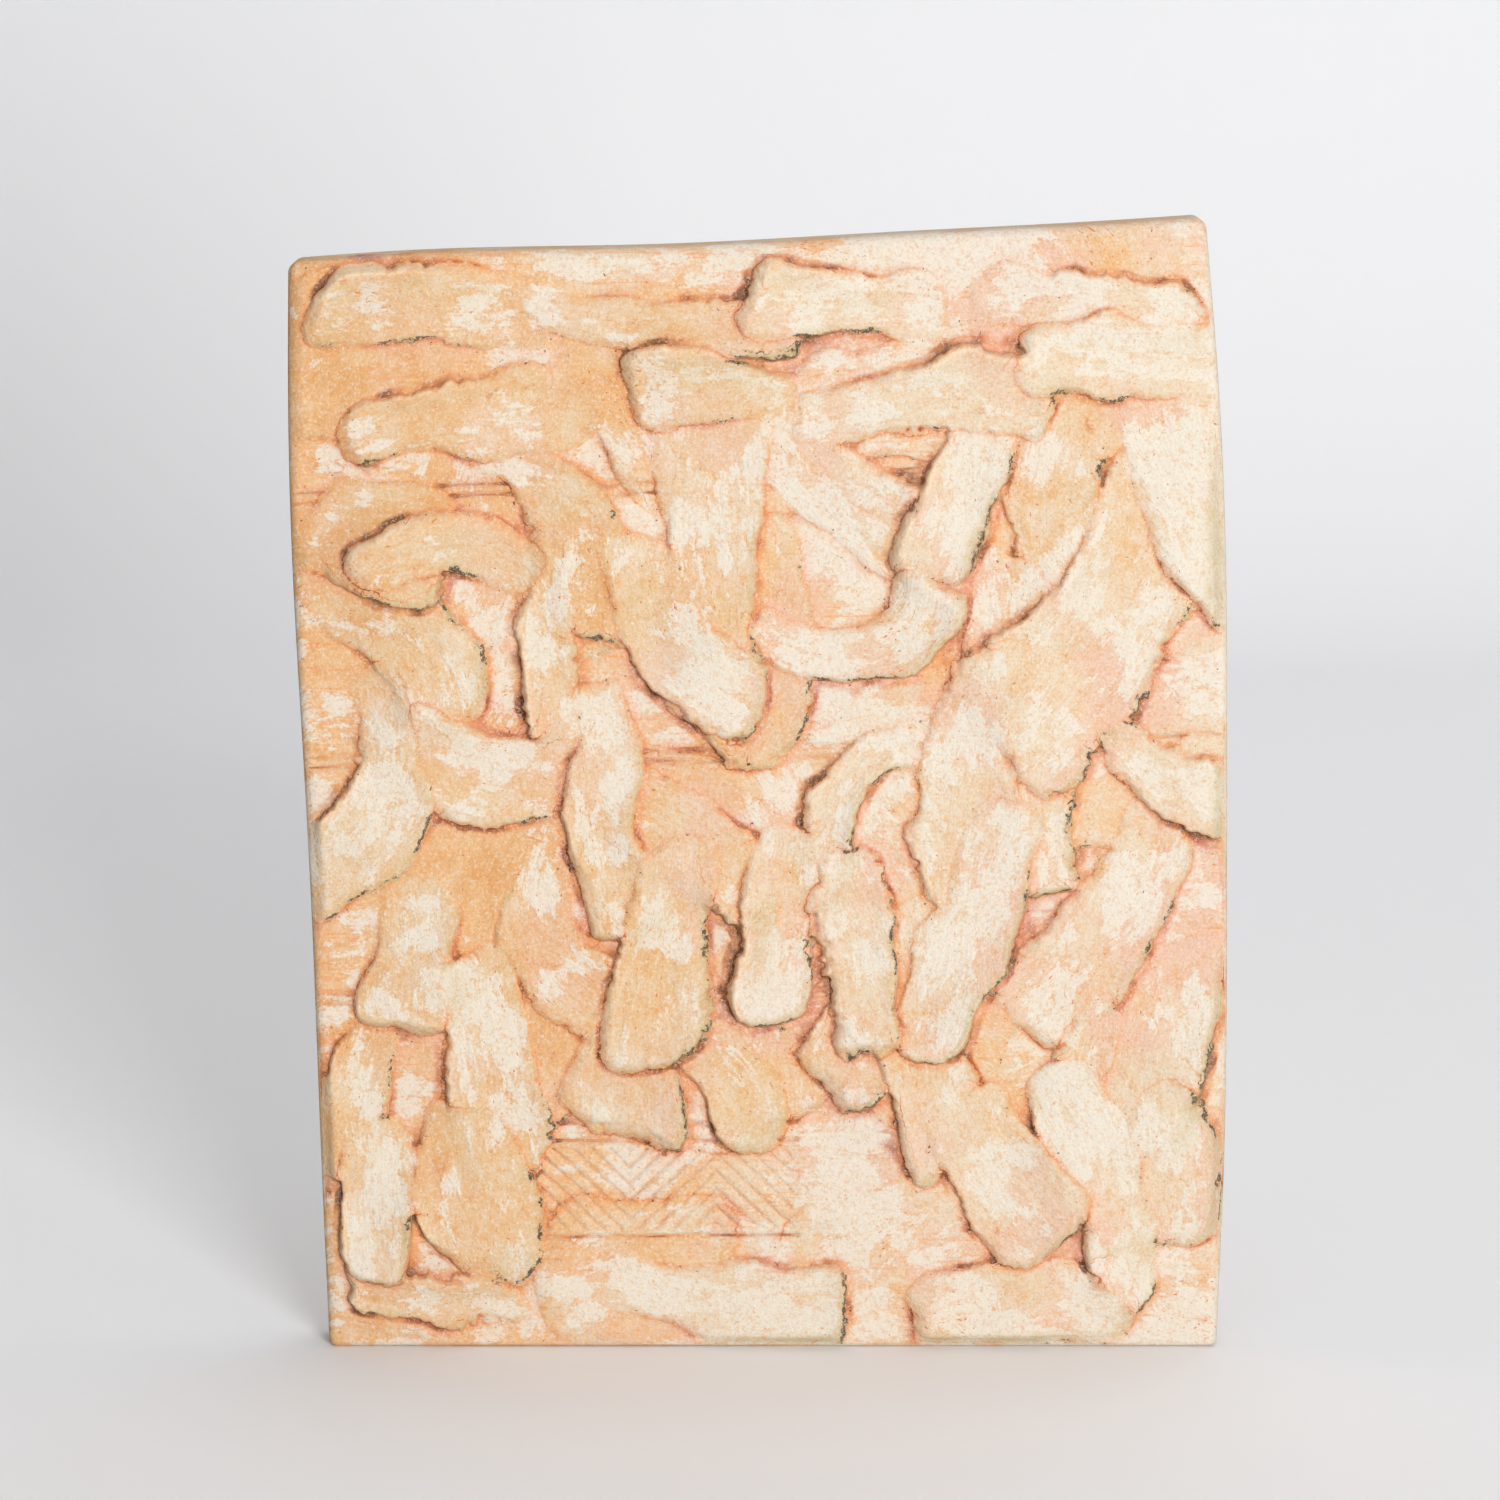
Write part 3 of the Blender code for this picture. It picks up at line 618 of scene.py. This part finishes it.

# A thin line lies in the crease itself, partly rust stain and partly painted shadow of the undercut: pale
# or rose where the step is low, and nearly black where it is high. It is strongest left of a dab and below
# it, on the sides that face away from the key light, which is painted shade, and bleeds orange stain to
# both sides.
wobble = add(NOISE, {"Vector": spot, "Scale": size(0.8), "Detail": 4.0, "Roughness": 0.7})
wander = add(NOISE, {"Vector": spot, "Scale": size(3), "Detail": 3.0})
line = add(MATH, {0: wobble, 1: 1.8, 2: crease}, **PLUS)
line = add(MATH, {0: wander, 1: 1.6, 2: line}, **PLUS)
line = add(MATH, {0: add(MATH, {0: line, 1: -1.7}, operation="ADD")}, operation="ABSOLUTE")
by_line = add(RANGE, {0: line, 1: 0.0, 2: 3.0, 3: 1.0, 4: 0.0})
bleed = add(RANGE, {0: line, 1: 0.1, 2: 2.0, 3: 0.9, 4: 0.0})
width = add(RANGE, {0: steep, 1: 0.2, 2: 1.4, 3: 0.16, 4: 0.38})
width = add(MATH, {0: width, 1: add(RANGE, {0: blotches, 1: 0.35, 2: 0.65, 3: 0.5, 4: 1.4})}, **TIMES)
line = add(MATH, {0: line, 1: width}, operation="DIVIDE")
line = add(RANGE, {0: line, 1: 0.5, 2: 1.2, 3: 1.0, 4: 0.0})
strength = add(RANGE, {0: steep, 1: 0.1, 2: 0.45})
strength = add(MATH, {0: strength, 1: add(RANGE, {0: patchy, 3: 0.45, 4: 1.0})}, **TIMES)
bleed = add(MATH, {0: add(MATH, {0: bleed, 1: bleed}, **TIMES), 1: strength}, **TIMES)
# Painted shade: the line is made stronger on a dab's left and lower sides, which face away from the key
# light.
strength = add(MATH, {0: strength, 1: add(RANGE, {0: shaded, 1: -0.4, 2: 0.2, 3: 0.3, 4: 1.0})}, **TIMES)
line = add(MATH, {0: line, 1: strength}, **TIMES)
in_groove = add(RANGE, {0: groove, 1: 0.2, 2: 0.42, 3: 0.0, 4: 0.8})
line = add(MATH, {0: line, 1: add(MATH, {0: in_groove, 1: patchy}, **TIMES)}, operation="MAXIMUM")
# Darker where the step is high and where it faces up and left: painted shadow of the undercut as well as
# stain.
line_darkness = add(MATH, {0: patchy, 1: 0.5, 2: steep}, **PLUS)
line_darkness = add(MATH, {0: facing, 1: -0.4, 2: line_darkness}, **PLUS)
line_darkness = add(MATH, {0: line_darkness, 1: line}, **TIMES)
pale = add(MIX, {0: rosy, 6: linear(PALE_LINE), 7: linear(ROSE_LINE)}, 2, **COLOUR)
rust_and_shadow = add(RANGE, {0: line_darkness, 1: 0.2, 2: 0.7})
rust_and_shadow = add(MIX, {0: rust_and_shadow, 6: pale, 7: linear(RUST_AND_SHADOW_LINE)}, 2, **COLOUR)
dark = add(RANGE, {0: line_darkness, 1: 0.6, 2: 1.1})
rust_and_shadow = add(MIX, {0: dark, 6: rust_and_shadow, 7: linear(DARK_LINE)}, 2, **COLOUR)
body = add(MIX, {0: bleed, 6: body, 7: linear(BLEED)}, 2, **COLOUR)
body = add(MIX, {0: line, 6: body, 7: rust_and_shadow}, 2, **COLOUR)

# Hairlines: a few fine broken cracks along the smears, with a little rust in them.
hairs = add(NOISE, {"Vector": patch_spot, "Scale": size(10), "Detail": 2.0, "Roughness": 0.5})
hairs = add(MATH, {0: add(MATH, {0: hairs, 1: -0.5}, operation="ADD")}, operation="ABSOLUTE")
hairs = add(RANGE, {0: hairs, 1: 0.001, 2: 0.006, 3: 0.55, 4: 0.0})
hairs = add(MATH, {0: hairs, 1: add(RANGE, {0: blotches, 1: 0.56, 2: 0.64})}, **TIMES)
body = add(MIX, {0: hairs, 6: body, 7: linear(PALE_LINE)}, 2, **COLOUR)

# Charcoal: broken, grainy marks along the right and lower shoulders of some dabs, in an olive smudge.
shoulder = add(MATH, {0: wander, 1: 2.6, 2: crease}, **PLUS)
shoulder = add(MATH, {0: add(MATH, {0: shoulder, 1: -0.6}, operation="ADD")}, operation="ABSOLUTE")
shoulder = add(RANGE, {0: shoulder, 1: 0.2, 2: 1.2, 3: 1.0, 4: 0.0})
runs = add(NOISE, {"Vector": other_spot, "Scale": size(11), "Detail": 2.0})
rubbed = add(MATH, {0: add(RANGE, {0: runs, 1: 0.46, 2: 0.56}), 1: shoulder}, **TIMES)
rubbed = add(MATH, {0: rubbed, 1: add(RANGE, {0: facing, 1: 0.0, 2: 0.3})}, **TIMES)
smudge = add(MATH, {0: rubbed, 1: add(RANGE, {0: blotches, 1: 0.4, 2: 0.6, 3: 0.1, 4: 0.9})}, **TIMES)
body = add(MIX, {0: smudge, 6: body, 7: linear(SMUDGE)}, 2, **COLOUR)
coal_grains = add(NOISE, {"Vector": spot, "Scale": size(1), "Detail": 3.0, "Roughness": 0.75})
rubbed = add(MATH, {0: rubbed, 1: 0.36, 2: coal_grains}, **PLUS)
charcoal = add(RANGE, {0: rubbed, 1: 0.76, 2: 0.82, 3: 0.0, 4: 0.95})
body = add(MIX, {0: charcoal, 6: body, 7: linear(CHARCOAL)}, 2, **COLOUR)

# Grain: pale dust on the tooth of the clay, stain in its pits, and a few flecks and iron specks.
tooth_stain = add(RANGE, {0: grit, 1: 0.46, 2: 0.3, 3: 0.0, 4: 0.6})
body = add(MIX, {0: tooth_stain, 6: body, 7: linear(DEEP_WASH)}, 2, **COLOUR)
dust = add(RANGE, {0: grit, 1: 0.52, 2: 0.66, 3: 0.0, 4: 0.55})
body = add(MIX, {0: dust, 6: body, 7: linear(WHITE_SLIP)}, 2, **COLOUR)
pits = add(NOISE, {"Vector": other_spot, "Scale": size(1.8), "Detail": 5.0, "Roughness": 0.85})
pits = add(RANGE, {0: pits, 1: 0.47, 2: 0.33, 3: 0.0, 4: 0.6})
body = add(MIX, {0: pits, 6: body, 7: linear(DEEP_WASH)}, 2, **COLOUR)
flecks = add(NOISE, {"Vector": patch_spot, "Scale": size(0.8), "Detail": 3.0, "Roughness": 0.6})
flecks = add(MATH, {0: broad, 1: 0.3, 2: flecks}, **PLUS)
flecks = add(RANGE, {0: flecks, 1: 0.83, 2: 0.87, 3: 0.0, 4: 0.8})
body = add(MIX, {0: flecks, 6: body, 7: linear(PALE_LINE)}, 2, **COLOUR)
specks = add(NOISE, {"Vector": other_spot, "Scale": size(1.2), "Detail": 3.0, "Roughness": 0.6})
specks = add(MATH, {0: by_line, 1: 0.06, 2: specks}, **PLUS)
specks = add(RANGE, {0: specks, 1: 0.73, 2: 0.77, 3: 0.0, 4: 0.8})
body = add(MIX, {0: specks, 6: body, 7: linear(DARK_LINE)}, 2, **COLOUR)

# Dry, matt and a little rough to the touch: grains and smear streaks too fine for the mesh.
tooth = add(NOISE, {"Vector": spot, "Scale": size(1.2), "Detail": 4.0, "Roughness": 0.7})
relief = add(MATH, {0: streaks, 1: 0.7, 2: tooth}, **PLUS)
relief = add(MATH, {0: patches, 1: 1.6, 2: relief}, **PLUS)
bump = add("ShaderNodeBump", {"Strength": 1.0, "Distance": 0.00045, "Height": relief})
surface = add("ShaderNodeBsdfPrincipled", {"Base Color": body, "Roughness": 0.88, "Normal": bump})
surface.node.inputs["Specular IOR Level"].default_value = 0.15
add("ShaderNodeOutputMaterial", {"Surface": surface})
mesh.materials.append(clay)

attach(tablet, "root")
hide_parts("relief_tablet")

# Studio sweep
# A sheet of white paper that runs level under the tablet and curves up behind it.

SWEEP_WIDTH = 6.0
SWEEP_FRONT = -2.5
SWEEP_CURVE = 0.95  # where the sheet starts to rise, behind the tablet
SWEEP_RADIUS = 0.3
SWEEP_TOP = 3.0
PAPER = "F0F0F1"

profile = [(SWEEP_FRONT, 0.0)]
for step in range(25):
    angle = math.radians(90 * step / 24)
    profile.append((SWEEP_CURVE + SWEEP_RADIUS * math.sin(angle), SWEEP_RADIUS * (1 - math.cos(angle))))
profile.append((SWEEP_CURVE + SWEEP_RADIUS, SWEEP_TOP))
sheet = bmesh.new()
edges = (-SWEEP_WIDTH / 2, SWEEP_WIDTH / 2)
rows = [[sheet.verts.new((edge, y, z)) for edge in edges] for y, z in profile]
for (a, b), (c, d) in zip(rows, rows[1:]):
    sheet.faces.new((a, b, d, c))
sweep_mesh = bpy.data.meshes.new("paper_sweep")
sheet.to_mesh(sweep_mesh)
sheet.free()
sweep_mesh.shade_smooth()
sweep = bpy.data.objects.new("paper_sweep", sweep_mesh)
bpy.context.scene.collection.objects.link(sweep)

# Matt white background paper: even, without gloss, its fibres just felt.
paper = bpy.data.materials.new("matt white paper")
paper.use_nodes = True
tree = paper.node_tree
tree.nodes.clear()
fibres = add(NOISE, {"Vector": add("ShaderNodeTexCoord", out="Object"), "Scale": size(1.5), "Detail": 3.0})
fibre_bump = add("ShaderNodeBump", {"Strength": 0.05, "Distance": 0.0001, "Height": fibres})
paper_surface = {"Base Color": linear(PAPER), "Roughness": 0.95, "Normal": fibre_bump}
add("ShaderNodeOutputMaterial", {"Surface": add("ShaderNodeBsdfPrincipled", paper_surface)})
sweep_mesh.materials.append(paper)

# Studio light
# A softbox stands right of the camera and a little above it, a wide weak one hangs over the tablet,
# and a light above and behind it brightens the paper. The room gives a faint cool fill.

MIDDLE = (0, 0, 0.13)  # of the tablet
BEHIND = (0.3, 1.2, 0.8)  # on the paper
ROOM = (0.93, 0.95, 1.0, 1)
ROOM_STRENGTH = 0.06


def softbox(name, aim, azimuth, elevation, distance, sides, watts):
    lamp = bpy.data.lights.new(name, "AREA")
    lamp.shape = "RECTANGLE"
    lamp.size, lamp.size_y = sides
    lamp.energy = watts
    box = bpy.data.objects.new(name, lamp)
    turn, lift = math.radians(azimuth), math.radians(elevation)
    away = Vector((math.sin(turn) * math.cos(lift), -math.cos(turn) * math.cos(lift), math.sin(lift)))
    box.location = Vector(aim) + distance * away
    box.rotation_euler = away.to_track_quat("Z", "Y").to_euler()
    bpy.context.scene.collection.objects.link(box)


softbox("key softbox", MIDDLE, azimuth=18, elevation=11, distance=2.4, sides=(0.7, 1.0), watts=58)
softbox("overhead softbox", MIDDLE, azimuth=10, elevation=80, distance=1.8, sides=(1.5, 1.5), watts=11)
softbox("background light", BEHIND, azimuth=8, elevation=55, distance=1.2, sides=(1.2, 1.2), watts=7.4)
world = bpy.data.worlds.new("studio")
world.use_nodes = True
world.node_tree.nodes["Background"].inputs["Color"].default_value = ROOM
world.node_tree.nodes["Background"].inputs["Strength"].default_value = ROOM_STRENGTH
bpy.context.scene.world = world

# Camera
# It stands 1.1 m away with a 115 mm lens and looks down 10.5 degrees.

AIM = Vector((-5.4, -7.5, 143.1)) * METRES
DISTANCE = 1.1
LOOKING_DOWN = 10.5
LENS = 114.8
SENSOR = 36

camera_data = bpy.data.cameras.new("camera")
camera_data.lens = LENS
camera_data.sensor_width = SENSOR
camera = bpy.data.objects.new("camera", camera_data)
down = math.radians(LOOKING_DOWN)
camera.location = AIM + DISTANCE * Vector((0, -math.cos(down), math.sin(down)))
camera.rotation_euler = (math.radians(90) - down, 0, 0)
bpy.context.scene.collection.objects.link(camera)
bpy.context.scene.camera = camera
bpy.context.scene.view_settings.view_transform = "Standard"
